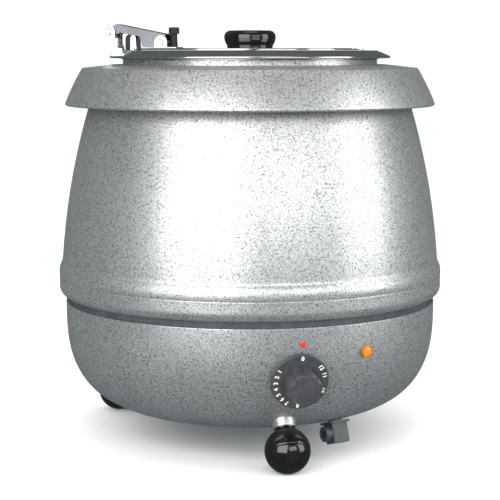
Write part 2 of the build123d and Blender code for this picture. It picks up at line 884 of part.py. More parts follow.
with BuildPart() as gland_body:
    with BuildSketch(gland_turned.offset(gland_foot)):
        RectangleRounded(gland_flange, gland_flange, 2)
    extrude(amount=flange_top - gland_foot)
    with BuildSketch(gland_turned.offset(flange_top)):
        RectangleRounded(gland_side, gland_side, 1.2)
    extrude(amount=gland_length - flange_top)
    with BuildSketch(gland_turned.offset(gland_foot)):
        Circle(gland_neck_radius)
    extrude(amount=-9.0)
    outlet_centre = gland_turned.from_local_coords(Vector(-gland_side / 2, 0, outlet_height))
    outlet_plane = Plane(origin=outlet_centre, z_dir=-gland_turned.x_dir, x_dir=gland_turned.z_dir)
    with BuildSketch(outlet_plane):
        Circle(outlet_radius)
    extrude(amount=outlet_boss)
    with BuildSketch(outlet_plane.offset(outlet_boss)):
        Circle(cord_bore_radius)
    extrude(amount=-(outlet_depth + outlet_boss), mode=Mode.SUBTRACT)
    with BuildSketch(gland_turned.offset(outlet_height)):
        Circle(cord_bore_radius)
    extrude(amount=-20.0, mode=Mode.SUBTRACT)
write(gland_body, "gland_body")

with BuildPart() as gland_nut:
    with BuildSketch(gland_turned.offset(-3.4)):
        RegularPolygon(10.0, 6)
        Circle(gland_neck_radius, mode=Mode.SUBTRACT)
    extrude(amount=-4.0)
write(gland_nut, "gland_nut")

# ------------------------------------------------- heating under the bath
element_circle = 74.0
element_radius = 4.0
element_height = well_floor - element_radius - 0.2
clamp_top = element_height - element_radius
clamp_sheet = 2.0

with BuildPart() as heating_element:
    with BuildSketch(Plane(origin=(element_circle, 0, element_height), x_dir=(1, 0, 0), z_dir=(0, 1, 0))):
        Circle(element_radius)
    revolve(axis=Axis.Z, revolution_arc=330)
    for angle in (0, 330):
        end = Vector(
            element_circle * cos(radians(angle)),
            element_circle * sin(radians(angle)),
            element_height,
        )
        with BuildSketch(Plane(origin=end)):
            Circle(element_radius - 0.5)
        extrude(amount=-22)
write(heating_element, "heating_element")

with BuildPart() as element_clamp:
    with BuildSketch(Plane.XY.offset(clamp_top)):
        Circle(24)
        for angle in (75, 195, 315):
            with Locations(Location((0, 0, 0), (0, 0, angle))):
                with Locations((45, 0)):
                    Rectangle(90, 16)
        Circle(pin_radius + 1.0, mode=Mode.SUBTRACT)
    extrude(amount=-clamp_sheet)
write(element_clamp, "element_clamp")

with BuildPart() as clamp_stud:
    with BuildSketch(Plane.XY.offset(well_floor)):
        Circle(pin_radius + 1.0)
    extrude(amount=-(well_floor - clamp_top + clamp_sheet + 9.0))
write(clamp_stud, "clamp_stud")

with BuildPart() as clamp_nut:
    with BuildSketch(Plane.XY.offset(clamp_top - clamp_sheet)):
        RegularPolygon(5.8, 6)
        Circle(pin_radius + 1.0, mode=Mode.SUBTRACT)
    extrude(amount=-5)
write(clamp_nut, "clamp_nut")

with BuildPart() as thermal_cutout:
    place = Plane(origin=(48 * cos(radians(195)), 48 * sin(radians(195)), clamp_top - clamp_sheet))
    with BuildSketch(place):
        Circle(8)
    extrude(amount=-8)
    with BuildSketch(place.offset(-8)):
        with Locations((-5, 0), (5, 0)):
            Rectangle(0.8, 6.3)
    extrude(amount=-7)
write(thermal_cutout, "thermal_cutout")

bulb_radius = 3.0
bulb_angle = -32.0
bulb_foot = 96.0
bulb_length = 62.0
bulb_circle = well_radius + bulb_radius + 0.3
with BuildPart() as thermostat_bulb:
    with BuildSketch(Plane(origin=around(bulb_angle, bulb_circle, bulb_foot))):
        Circle(bulb_radius)
    extrude(amount=bulb_length)
write(thermostat_bulb, "thermostat_bulb")

# The capillary leaves the bulb's foot and loops to the back of the thermostat.
with BuildPart() as capillary:
    back = knob_plane.from_local_coords(Vector(0, -9, body_front - body_depth))
    with BuildLine():
        FilletPolyline(
            around(bulb_angle, bulb_circle, bulb_foot),
            around(bulb_angle, bulb_circle, bulb_foot - 18.0),
            around(-18.0, bulb_circle + 4.0, 66.0),
            around(-6.0, bulb_circle + 6.0, 64.0),
            back + (knob_plane.z_dir * -9.0),
            back,
            radius=5.0,
        )
    with BuildSketch(Plane(origin=around(bulb_angle, bulb_circle, bulb_foot), z_dir=(0, 0, -1))):
        Circle(0.9)
    sweep()
write(capillary, "capillary")

# ------------------------------------------------- terminals on the floor
floor_top = bowl_floor_height + steel
with BuildPart() as terminal_block:
    block_place = Plane(origin=around(70.0, 86.0, floor_top), x_dir=around(160.0, 1, 0), z_dir=(0, 0, 1))
    with BuildSketch(block_place):
        Rectangle(36, 18)
    extrude(amount=15)
    with BuildSketch(block_place.offset(15)):
        with GridLocations(11, 9, 3, 2):
            Circle(2.2)
    extrude(amount=-6, mode=Mode.SUBTRACT)
write(terminal_block, "terminal_block")

with BuildPart() as earth_stud:
    earth_place = Plane(origin=around(110.0, 84.0, floor_top))
    with BuildSketch(earth_place):
        Circle(2.0)
    extrude(amount=14)
    with BuildSketch(earth_place):
        RegularPolygon(4.4, 6)
    extrude(amount=3.2)
write(earth_stud, "earth_stud")
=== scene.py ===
"""Soup kettle: its visible skin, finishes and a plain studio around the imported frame.

Sizes are in millimetres and are turned to metres where a form becomes a piece.
"""

import json
import logging
import math
from collections.abc import Sequence
from dataclasses import dataclass, field
from enum import Enum

import bmesh
import bpy
import numpy as np
from mathutils import Matrix, Vector


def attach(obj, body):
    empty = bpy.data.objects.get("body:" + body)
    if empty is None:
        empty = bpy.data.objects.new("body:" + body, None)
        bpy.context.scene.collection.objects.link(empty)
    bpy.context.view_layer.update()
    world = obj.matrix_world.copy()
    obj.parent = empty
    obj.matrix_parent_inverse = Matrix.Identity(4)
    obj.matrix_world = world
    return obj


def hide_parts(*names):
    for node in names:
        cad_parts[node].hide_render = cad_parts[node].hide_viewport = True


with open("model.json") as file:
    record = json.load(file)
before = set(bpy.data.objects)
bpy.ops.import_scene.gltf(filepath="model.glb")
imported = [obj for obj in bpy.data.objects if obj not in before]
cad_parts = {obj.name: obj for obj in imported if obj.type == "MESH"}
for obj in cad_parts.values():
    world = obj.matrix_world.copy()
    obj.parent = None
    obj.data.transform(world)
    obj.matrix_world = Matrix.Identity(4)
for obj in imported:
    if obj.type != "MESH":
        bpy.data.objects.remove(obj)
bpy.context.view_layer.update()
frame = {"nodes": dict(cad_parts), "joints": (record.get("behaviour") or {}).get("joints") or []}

MM = 0.001
FULL_TURN = 2 * math.pi
Point = tuple[float, float]
log = logging.getLogger("kettle")


class Body(Enum):
    """Moving bodies of the kettle."""

    KETTLE = "kettle"
    POT = "pot"
    RING = "ring"
    LINK = "link"
    LID = "lid"
    KNOB = "knob"


# ------------------------------------------------------------------ finishes
def linear(hex_colour: str) -> tuple[float, float, float, float]:
    """Turn an sRGB hex colour to linear light.

    Args:
        hex_colour: Six hex digits.

    Returns:
        Linear red, green and blue, and an alpha of one.
    """
    parts = [int(hex_colour[i : i + 2], 16) / 255 for i in (0, 2, 4)]
    light = [c / 12.92 if c <= 0.04045 else ((c + 0.055) / 1.055) ** 2.4 for c in parts]
    return (*light, 1.0)


def add(tree: bpy.types.NodeTree, kind: str, feeds: dict | None = None, **settings) -> bpy.types.Node:
    """Add a node with its settings and links.

    Args:
        tree: Tree that takes the node.
        kind: Class name of the node.
        feeds: For an input's name or number, the socket or the value that it gets.
        settings: Properties of the node.

    Returns:
        The new node.
    """
    node = tree.nodes.new(kind)
    for name, value in settings.items():
        setattr(node, name, value)
    for key, value in (feeds or {}).items():
        if isinstance(value, bpy.types.NodeSocket):
            tree.links.new(value, node.inputs[key])
        else:
            node.inputs[key].default_value = value
    return node


# Sockets of the Mix node when it mixes colours.
COLOUR_A, COLOUR_B, COLOUR_OUT = 6, 7, 2


@dataclass(frozen=True)
class Finish:
    """A surface finish with typical shader values; a subclass draws its pattern."""

    name: str
    slot: str
    colour: str
    second: str
    metallic: float = 0.0
    roughness: float = 0.4
    ior: float = 1.5
    coat: float = 0.0
    coat_roughness: float = 0.1

    def material(self) -> bpy.types.Material:
        """Build the finish's material once, and give the same one afterwards.

        Returns:
            The material, with its pattern drawn.
        """
        known = bpy.data.materials.get(self.name)
        if known:
            return known
        material = bpy.data.materials.new(self.name)
        material.use_nodes = True
        tree = material.node_tree
        tree.nodes.clear()
        surface = add(
            tree,
            "ShaderNodeBsdfPrincipled",
            {
                "Metallic": self.metallic,
                "Roughness": self.roughness,
                "Coat Weight": self.coat,
                "Coat Roughness": self.coat_roughness,
            },
        )
        if not self.metallic:
            surface.inputs["IOR"].default_value = self.ior
        add(tree, "ShaderNodeOutputMaterial", {"Surface": surface.outputs[0]})
        place = add(tree, "ShaderNodeTexCoord").outputs["Object"]
        self.draw(tree, surface, place)
        return material

    def draw(self, tree: bpy.types.NodeTree, surface: bpy.types.Node, place: bpy.types.NodeSocket) -> None:
        """Draw the pattern of the finish onto its shader.

        Args:
            tree: The material's tree.
            surface: The Principled shader.
            place: Object coordinates.
        """
        raise NotImplementedError


@dataclass(frozen=True)
class HammeredEnamel(Finish):
    """Sprayed silver hammer-finish enamel: bright aluminium cells between dark veins."""

    cell: float = 1.2  # a cell and its vein, mm
    drift: float = 55.0  # slow change of tone over the sheet, mm
    relief: float = 0.05  # depth of the dimples, mm

    def draw(self, tree: bpy.types.NodeTree, surface: bpy.types.Node, place: bpy.types.NodeSocket) -> None:
        """Draw crooked veins, cells of uneven brightness and shallow dimples."""
        wave = add(
            tree,
            "ShaderNodeTexNoise",
            {
                "Vector": place,
                "Scale": 1 / (self.cell * MM),
                "Detail": 0.4,
                "Roughness": 0.5,
                "Distortion": 0.6,
            },
        )
        centred = add(tree, "ShaderNodeMath", {0: wave.outputs["Fac"], 1: 0.5}, operation="SUBTRACT")
        ridge = add(tree, "ShaderNodeMath", {0: centred.outputs[0]}, operation="ABSOLUTE")
        cells = add(
            tree,
            "ShaderNodeMapRange",
            {"Value": ridge.outputs[0], "From Min": 0.0, "From Max": 0.08, "To Min": 0.0, "To Max": 1.0},
            interpolation_type="SMOOTHSTEP",
        )
        slow = add(
            tree,
            "ShaderNodeTexNoise",
            {"Vector": place, "Scale": 1 / (self.drift * MM), "Detail": 2.0},
        )
        tone = add(
            tree,
            "ShaderNodeMapRange",
            {"Value": slow.outputs["Fac"], "From Min": 0.3, "From Max": 0.7, "To Min": 0.90, "To Max": 1.0},
        )
        bright = add(
            tree, "ShaderNodeMath", {0: cells.outputs[0], 1: tone.outputs[0]}, operation="MULTIPLY"
        )
        colour = add(
            tree,
            "ShaderNodeMix",
            {0: bright.outputs[0], COLOUR_A: linear(self.second), COLOUR_B: linear(self.colour)},
            data_type="RGBA",
        )
        tree.links.new(colour.outputs[COLOUR_OUT], surface.inputs["Base Color"])
        rough = add(
            tree,
            "ShaderNodeMapRange",
            {"Value": cells.outputs[0], "To Min": self.roughness + 0.14, "To Max": self.roughness},
        )
        tree.links.new(rough.outputs[0], surface.inputs["Roughness"])
        bump = add(
            tree,
            "ShaderNodeBump",
            {"Height": cells.outputs[0], "Distance": self.relief * MM, "Strength": 0.6},
        )
        tree.links.new(bump.outputs[0], surface.inputs["Normal"])


class Grain(Enum):
    """Direction of the polishing or brushing lines."""

    TURNED = "round the kettle's axis"
    STRAIGHT = "along the piece"


@dataclass(frozen=True)
class WorkedSteel(Finish):
    """Stainless sheet polished or brushed by a wheel, which leaves fine lines."""

    line: float = 0.6  # spacing of the lines, drawn coarse enough to show, mm
    depth: float = 0.004  # depth of the lines, mm
    stretch: float = 0.04  # how slowly straight lines change along their length
    smear: float = 22.0  # size of the faint smears, mm
    grain: Grain = Grain.TURNED

    def draw(self, tree: bpy.types.NodeTree, surface: bpy.types.Node, place: bpy.types.NodeSocket) -> None:
        """Draw lines along the grain in roughness, tone and relief, with faint smears."""
        axes = add(tree, "ShaderNodeSeparateXYZ", {0: place})
        if self.grain is Grain.TURNED:
            flat = add(tree, "ShaderNodeCombineXYZ", {0: axes.outputs[0], 1: axes.outputs[1]})
            across = add(tree, "ShaderNodeVectorMath", {0: flat.outputs[0]}, operation="LENGTH")
            lines_at = add(tree, "ShaderNodeCombineXYZ", {0: across.outputs["Value"], 1: axes.outputs[2]})
        else:
            slow = add(tree, "ShaderNodeMath", {0: axes.outputs[0], 1: self.stretch}, operation="MULTIPLY")
            lines_at = add(
                tree, "ShaderNodeCombineXYZ", {0: slow.outputs[0], 1: axes.outputs[1], 2: axes.outputs[2]}
            )
        lines = add(
            tree,
            "ShaderNodeTexNoise",
            {"Vector": lines_at.outputs[0], "Scale": 1 / (self.line * MM), "Detail": 3.0, "Roughness": 0.7},
        )
        smears = add(
            tree, "ShaderNodeTexNoise", {"Vector": place, "Scale": 1 / (self.smear * MM), "Detail": 3.0}
        )
        colour = add(
            tree,
            "ShaderNodeMix",
            {0: lines.outputs["Fac"], COLOUR_A: linear(self.second), COLOUR_B: linear(self.colour)},
            data_type="RGBA",
        )
        tree.links.new(colour.outputs[COLOUR_OUT], surface.inputs["Base Color"])
        both = add(
            tree, "ShaderNodeMath", {0: lines.outputs["Fac"], 1: smears.outputs["Fac"]}, operation="MULTIPLY"
        )
        rough = add(
            tree,
            "ShaderNodeMapRange",
            {
                "Value": both.outputs[0],
                "From Min": 0.1,
                "From Max": 0.4,
                "To Min": self.roughness * 0.75,
                "To Max": self.roughness * 1.35,
            },
        )
        tree.links.new(rough.outputs[0], surface.inputs["Roughness"])
        bump = add(
            tree,
            "ShaderNodeBump",
            {"Height": lines.outputs["Fac"], "Distance": self.depth * MM, "Strength": 0.5},
        )
        tree.links.new(bump.outputs[0], surface.inputs["Normal"])


@dataclass(frozen=True)
class Moulded(Finish):
    """Moulded plastic or rubber: fine spark grain or orange peel, with handling marks."""

    grit: float = 0.5  # size of the grain, mm
    depth: float = 0.01  # depth of the grain, mm
    patch: float = 9.0  # size of the dull patches, mm
    clear: float = 0.0  # share of light let through

    def draw(self, tree: bpy.types.NodeTree, surface: bpy.types.Node, place: bpy.types.NodeSocket) -> None:
        """Draw the grain in relief, and dull patches in tone and roughness."""
        surface.inputs["Transmission Weight"].default_value = self.clear
        patches = add(
            tree,
            "ShaderNodeTexNoise",
            {"Vector": place, "Scale": 1 / (self.patch * MM), "Detail": 4.0, "Roughness": 0.6},
        )
        share = add(
            tree,
            "ShaderNodeMapRange",
            {"Value": patches.outputs["Fac"], "From Min": 0.35, "From Max": 0.7},
        )
        colour = add(
            tree,
            "ShaderNodeMix",
            {0: share.outputs[0], COLOUR_A: linear(self.colour), COLOUR_B: linear(self.second)},
            data_type="RGBA",
        )
        tree.links.new(colour.outputs[COLOUR_OUT], surface.inputs["Base Color"])
        rough = add(
            tree,
            "ShaderNodeMapRange",
            {"Value": share.outputs[0], "To Min": self.roughness, "To Max": min(1.0, self.roughness * 1.4)},
        )
        tree.links.new(rough.outputs[0], surface.inputs["Roughness"])
        grain = add(
            tree, "ShaderNodeTexNoise", {"Vector": place, "Scale": 1 / (self.grit * MM), "Detail": 2.0}
        )
        bump = add(
            tree,
            "ShaderNodeBump",
            {"Height": grain.outputs["Fac"], "Distance": self.depth * MM, "Strength": 0.5},
        )
        tree.links.new(bump.outputs[0], surface.inputs["Normal"])


# Hammer-finish stoving enamel: aluminium flake that dries in bright cells between dark veins.
ENAMEL = HammeredEnamel(
    "hammered_silver_enamel", "hammertone_paint", "DCDDDE", "2C2F32",
    metallic=0.85, roughness=0.37, coat=0.2, coat_roughness=0.30,
)
# Buffed 18/8 sheet: near mirror, so it shows bands of light and dark.
POLISHED = WorkedSteel(
    "polished_stainless_steel", "polished_stainless", "DEDEDC", "C2C2C0",
    metallic=1.0, roughness=0.13,
)
# Polished pressings of the hinge, a little duller and warmer; their tone is set a little darker than the
# lid's steel as painted shade.
POLISHED_SHADED = WorkedSteel(
    "polished_stainless_pressing_painted_shade", "polished_stainless", "D2D0CC", "B2AFAA",
    metallic=1.0, roughness=0.16, grain=Grain.STRAIGHT,
)
# Spun and satin-brushed sheet of the pot.
BRUSHED = WorkedSteel(
    "brushed_stainless_steel", "brushed_stainless", "C8C8C5", "9C9C9A",
    metallic=1.0, roughness=0.30, line=0.9, depth=0.01,
)
# The flat-brushed link: the same stainless, its grey darkened well below bare steel as painted shade.
BRUSHED_SHADED = WorkedSteel(
    "brushed_stainless_strip_painted_shade", "brushed_stainless", "6C6D71", "57585C",
    metallic=1.0, roughness=0.30, line=0.5, grain=Grain.STRAIGHT,
)
# Bright zinc plate: greyish, slightly blue and dull.
ZINC = WorkedSteel(
    "bright_zinc_plate", "zinc_plate", "B9BEC2", "8F9498",
    metallic=1.0, roughness=0.34, line=1.2, depth=0.01, grain=Grain.STRAIGHT,
)
# Drawn copper tube of the thermostat's bulb.
COPPER = WorkedSteel(
    "drawn_copper_tube", "copper", "C98A66", "9A5F44",
    metallic=1.0, roughness=0.30, grain=Grain.STRAIGHT,
)
# Phenolic, polished after moulding: deep black with mirror-like highlights.
PHENOLIC = Moulded(
    "polished_black_phenolic", "black_plastic", "0C0C0D", "161617",
    roughness=0.11, ior=1.62, grit=2.4, depth=0.006,
)
# Glass-filled nylon of the dial: grey-black and satin, its base lightened a little as painted sheen.
NYLON_SHEEN = Moulded(
    "satin_black_nylon_painted_sheen", "black_plastic", "323336", "3D3E41",
    roughness=0.30, ior=1.53, grit=0.45, depth=0.02,
)
# Polyamide of the cord gland and the lamp's body.
MATT_BLACK = Moulded(
    "matt_black_polyamide", "matt_black_plastic", "34383A", "42474A",
    roughness=0.36, ior=1.53, grit=0.7, depth=0.03,
)
# Polycarbonate of the dial mark.
RED = Moulded(
    "red_polycarbonate", "red_plastic", "D8231F", "C01714",
    roughness=0.22, ior=1.58, clear=0.1,
)
# Clear amber polycarbonate of the lamp's lens.
AMBER = Moulded(
    "amber_polycarbonate_lens", "amber_plastic", "F09A1E", "D87A10",
    roughness=0.12, ior=1.58, clear=0.35,
)
# The lamp's rim looks brown, because little light passes it.
AMBER_RIM = Moulded(
    "amber_polycarbonate_rim", "amber_plastic", "A86412", "8A4E0C",
    roughness=0.25, ior=1.58,
)
# Neoprene of the lid's stop.
RUBBER = Moulded(
    "black_neoprene", "black_rubber", "17181A", "202123",
    roughness=0.62, ior=1.52, grit=0.8, depth=0.03,
)
# The seam ring is dark rubber in the joint; its dull grey-green tone is painted shade of the recess between
# the shells.
SEAM_SHADE = Moulded(
    "seam_neoprene_painted_shade", "black_rubber", "283031", "3A4546",
    roughness=0.6, ior=1.52, grit=1.2, depth=0.05,
)
# Urea mouldings of the electrical parts.
UREA = Moulded(
    "cream_urea_moulding", "cream_plastic", "DAD3BE", "CBC2A8",
    roughness=0.38, ior=1.54,
)
# White pad print of the dial.
PRINT = Moulded(
    "white_dial_print", "black_plastic", "F2F2EE", "E2E2DC",
    roughness=0.5, ior=1.5, grit=0.4, depth=0.004,
)


# --------------------------------------------------------------------- forms
def arc(start: Point, middle: Point, end: Point, steps: int) -> list[Point]:
    """Give points along the circle through three points.

    Args:
        start: First point, which the list leaves out.
        middle: A point between.
        end: Last point.
        steps: Number of spans.

    Returns:
        The points after the start.
    """
    (ax, ay), (bx, by), (cx, cy) = start, middle, end
    squares = [x * x + y * y for x, y in (start, middle, end)]
    scale = 2 * (ax * (by - cy) + bx * (cy - ay) + cx * (ay - by))
    ux = (squares[0] * (by - cy) + squares[1] * (cy - ay) + squares[2] * (ay - by)) / scale
    uy = (squares[0] * (cx - bx) + squares[1] * (ax - cx) + squares[2] * (bx - ax)) / scale
    first, half, last = (math.atan2(y - uy, x - ux) for x, y in (start, middle, end))
    sweep = (last - first) % FULL_TURN
    if (half - first) % FULL_TURN > sweep:
        sweep -= FULL_TURN
    radius = math.hypot(ax - ux, ay - uy)
    turns = [first + sweep * i / steps for i in range(1, steps + 1)]
    return [(ux + radius * math.cos(t), uy + radius * math.sin(t)) for t in turns]


@dataclass
class Section:
    """Half section of a turned piece, as distances from its axis and heights."""

    points: list[Point] = field(default_factory=list)
    rounded: dict[int, float] = field(default_factory=dict)

    def line(self, *points: Point) -> "Section":
        """Go straight through points."""
        self.points.extend(points)
        return self

    def corner(self, point: Point, radius: float) -> "Section":
        """Go straight to a corner that gets a radius."""
        self.rounded[len(self.points)] = radius
        return self.line(point)

    def arc(self, middle: Point, end: Point, steps: int = 12) -> "Section":
        """Go along a circle through a middle point."""
        return self.line(*arc(self.points[-1], middle, end, steps))

    def turned(self, steps: int = 256) -> bmesh.types.BMesh:
        """Turn the section round the upright axis.

        Args:
            steps: Number of spans round the axis.

        Returns:
            A closed form in metres.
        """
        form = bmesh.new()
        verts = [form.verts.new((x * MM, 0, z * MM)) for x, z in self.points]
        pairs = list(zip(verts, verts[1:]))
        if self.points[0][0] or self.points[-1][0]:
            pairs.append((verts[-1], verts[0]))
        for pair in pairs:
            form.edges.new(pair)
        for index, radius in self.rounded.items():
            here = verts[index]
            ways = [(edge.other_vert(here).co - here.co) for edge in here.link_edges]
            reach = radius * MM / math.tan(ways[0].angle(ways[1]) / 2)
            bmesh.ops.bevel(
                form,
                geom=[here],
                offset=reach,
                offset_type="OFFSET",
                segments=max(3, min(16, round(radius * 3))),
                profile=0.5,
                affect="VERTICES",
                material=-1,
            )
        bmesh.ops.spin(
            form,
            geom=form.verts[:] + form.edges[:],
            cent=(0, 0, 0),
            axis=(0, 0, 1),
            angle=FULL_TURN,
            steps=steps,
            use_merge=True,
        )
        return form


def spline(points: Sequence[Point], start: Point, end: Point, spans: int) -> list[Point]:
    """Run a smooth curve through points, at a steady pace along its chords.

    Args:
        points: Points that the curve passes.
        start: Direction and pull at the first point.
        end: Direction and pull at the last point.
        spans: Number of spans between two points.

    Returns:
        Points along the curve.
    """
    knots = np.array(points)
    chords = np.linalg.norm(np.diff(knots, axis=0), axis=1)
    count = len(knots)
    matrix = np.eye(count)
    pulls = np.zeros((count, 2))
    pulls[0], pulls[-1] = start, end
    for i in range(1, count - 1):
        before, after = chords[i - 1], chords[i]
        matrix[i, i - 1 : i + 2] = (after, 2 * (before + after), before)
        pulls[i] = 3 * (
            after / before * (knots[i] - knots[i - 1]) + before / after * (knots[i + 1] - knots[i])
        )
    slopes = np.linalg.solve(matrix, pulls)
    curve = []
    for i, chord in enumerate(chords):
        for t in np.linspace(0, 1, spans, endpoint=False):
            blend = np.array([2 * t**3 - 3 * t**2 + 1, 3 * t**2 - 2 * t**3])
            lean = np.array([t**3 - 2 * t**2 + t, t**3 - t**2]) * chord
            curve.append(tuple(blend @ knots[i : i + 2] + lean @ slopes[i : i + 2]))
    return [*curve, tuple(knots[-1])]


def seat(origin: Vector, out: Vector) -> Matrix:
    """Give the place of a fitting whose own Z axis points out of a skin.

    Args:
        origin: Place on the skin, in metres.
        out: Direction out of the skin.

    Returns:
        Its matrix, with the X axis level.
    """
    z = out.normalized()
    x = Vector((-z.y, z.x, 0)).normalized()
    return Matrix.Translation(origin) @ Matrix((x, z.cross(x), z)).transposed().to_4x4()


def copied(node: str, edge: float, segments: int = 2, flat: float = 2.0) -> bmesh.types.BMesh:
    """Copy a CAD node, merge it and break its sharp edges.

    Args:
        node: Name of the CAD node.
        edge: Width of the broken edges, in millimetres.
        segments: Spans across a broken edge.
        flat: Faces that turn by less than this many degrees are joined.

    Returns:
        The form, in metres.
    """
    form = bmesh.new()
    form.from_mesh(frame["nodes"][node].data)
    bmesh.ops.remove_doubles(form, verts=form.verts, dist=0.002 * MM)
    bmesh.ops.dissolve_limit(
        form, angle_limit=math.radians(flat), verts=form.verts, edges=form.edges
    )
    sharp = [e for e in form.edges if e.is_manifold and e.calc_face_angle() > math.radians(28)]
    if edge and sharp:
        bmesh.ops.bevel(
            form,
            geom=sharp,
            offset=edge * MM,
            offset_type="OFFSET",
            segments=segments,
            profile=0.5,
            affect="EDGES",
            clamp_overlap=True,
            material=-1,
        )
    return form


@dataclass
class Assembly:
    """A sub-assembly that makes its pieces and keeps them."""

    pieces: list[bpy.types.Object] = field(default_factory=list, init=False)

    def keep(
        self,
        form: bmesh.types.BMesh,
        name: str,
        finish: Finish,
        body: Body,
        nodes: Sequence[str] = (),
        crease: float = 32.0,
    ) -> bpy.types.Object:
        """Make a piece of a form, dress it and let it ride on a body.

        Args:
            form: The form, in metres and in place.
            name: Name of the piece.
            finish: Its finish.
            body: The body that it moves with.
            nodes: CAD nodes that it stands for.
            crease: Angle in degrees past which an edge stays sharp.

        Returns:
            The piece.
        """
        bmesh.ops.remove_doubles(form, verts=form.verts, dist=0.001 * MM)
        bmesh.ops.recalc_face_normals(form, faces=form.faces)
        mesh = bpy.data.meshes.new(name)
        form.to_mesh(mesh)
        form.free()
        mesh.shade_smooth()
        mesh.set_sharp_from_angle(angle=math.radians(crease))
        mesh.materials.append(finish.material())
        piece = bpy.data.objects.new(name, mesh)
        bpy.context.scene.collection.objects.link(piece)
        evened = piece.modifiers.new("evened_normals", "WEIGHTED_NORMAL")
        evened.keep_sharp = True
        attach(piece, body.value)
        if nodes:
            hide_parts(*nodes)
        self.pieces.append(piece)
        log.info("%s: %d faces on %s", name, len(mesh.polygons), body.value)
        return piece

    def dress(self, node: str, finish: Finish) -> None:
        """Give a CAD node that stays as it is a finish."""
        mesh = frame["nodes"][node].data
        mesh.materials.clear()
        mesh.materials.append(finish.material())
        log.info("%s: CAD node in %s", node, finish.name)


# ------------------------------------------------------------ sub-assemblies
@dataclass
class Casing(Assembly):
    """Painted casing: the barrel with its bead, the collar and the neck."""

    sheet: float = 1.2
    flange: float = 157.0
    lip: Point = (164.8, 128.4)
    bead: float = 170.1
    bead_band: tuple[float, float, float] = (137.0, 144.0, 146.0)
    bead_top: Point = (167.3, 158.5)
    lip_bulge: Point = (168.6, 131.2)
    top_bulge: Point = (169.8, 152.8)
    groove_depth: float = 0.7
    lip_lean: float = 0.7  # rise of the lip's inner side for each mm of sheet
    barrel_middle: Point = (159.5, 222.0)
    barrel_end: Point = (134.6, 318.0)
    shoulder: Point = (126.0, 329.1)
    shoulder_round: float = 12.5
    neck: float = 112.1
    neck_foot: float = 318.0
    neck_top: float = 335.0
    collar_flat: float = 121.0
    collar_corner: Point = (147.8, 327.3)
    collar_bulge: Point = (157.4, 309.5)
    collar_hem: Point = (161.5, 296.2)
    hem: float = 1.5

    def bead_line(self, section: Section, inset: float, upwards: bool) -> None:
        """Draw the lip, bead and barrel on one side of the sheet.

        Args:
            section: The section that is drawn.
            inset: Distance in from the outer side.
            upwards: Whether the line runs up or down.
        """
        low, groove_low, groove_high = self.bead_band
        radius = self.bead - inset
        foot = (self.lip[0] - inset, self.lip[1] + inset)
        lip_bulge = (self.lip_bulge[0] - inset, self.lip_bulge[1] + self.lip_lean * inset)
        top_bulge = (self.top_bulge[0] - inset, self.top_bulge[1])
        top = (self.bead_top[0] - inset, self.bead_top[1])
        middle = (self.barrel_middle[0] - inset, self.barrel_middle[1])
        end = (self.barrel_end[0] - inset, self.barrel_end[1])
        if upwards:
            section.line(foot).arc(lip_bulge, (radius, low), 8).line((radius, groove_low))
            groove = (radius - self.groove_depth, (groove_low + groove_high) / 2)
            section.arc(groove, (radius, groove_high), 6)
            section.arc(top_bulge, top, 10).arc(middle, end, 64)
        else:
            section.line(end).arc(middle, top, 64).arc(top_bulge, (radius, groove_high), 10)
            section.line((radius, low)).arc(lip_bulge, foot, 8)

    def barrel(self) -> None:
        """Turn the barrel with its lip, bead and shoulder."""
        section = Section().line((self.flange, self.lip[1]))
        self.bead_line(section, 0.0, True)
        section.corner(self.shoulder, self.shoulder_round)
        section.line((self.neck, self.shoulder[1]), (self.neck, self.shoulder[1] - self.sheet))
        section.corner(
            (self.shoulder[0] - self.sheet, self.shoulder[1] - self.sheet), self.shoulder_round - self.sheet
        )
        self.bead_line(section, self.sheet, False)
        section.line((self.flange, self.lip[1] + self.sheet))
        self.keep(section.turned(), "barrel", ENAMEL, Body.KETTLE, ["upper_shell"])

    def collar(self) -> None:
        """Turn the overhanging collar with its rolled hem."""
        top = self.shoulder[1] + self.sheet
        x, z = self.collar_hem
        section = Section().line((self.neck, top)).corner((self.collar_flat, top), 3.0)
        section.corner(self.collar_corner, 2.0)
        section.points.append((self.collar_corner[0] + 0.9, self.collar_corner[1] - 1.55))
        section.arc(self.collar_bulge, (x + self.hem - 0.05, z + 0.4), 24)
        section.arc((x + 0.2, z - self.hem), (x - self.hem + 0.1, z + 0.5), 12)
        section.arc(
            (self.collar_bulge[0] - self.sheet, self.collar_bulge[1] - 0.3),
            (self.collar_corner[0] - self.sheet, self.collar_corner[1] - self.sheet - 0.6),
            24,
        )
        section.line((self.collar_flat, self.shoulder[1]), (self.neck, self.shoulder[1]))
        self.keep(section.turned(), "collar_skin", ENAMEL, Body.KETTLE, ["collar"])

    def neck_tube(self) -> None:
        """Turn the short neck round the water bath."""
        inner = self.neck - self.sheet
        section = Section().line((inner, self.neck_foot), (self.neck, self.neck_foot))
        section.corner((self.neck, self.neck_top), 0.5).corner((inner, self.neck_top), 0.5)
        self.keep(section.turned(), "neck_tube", ENAMEL, Body.KETTLE, ["neck_ring"])

    def build(self) -> None:
        """Make every painted upper piece."""
        self.barrel()
        self.collar()
        self.neck_tube()


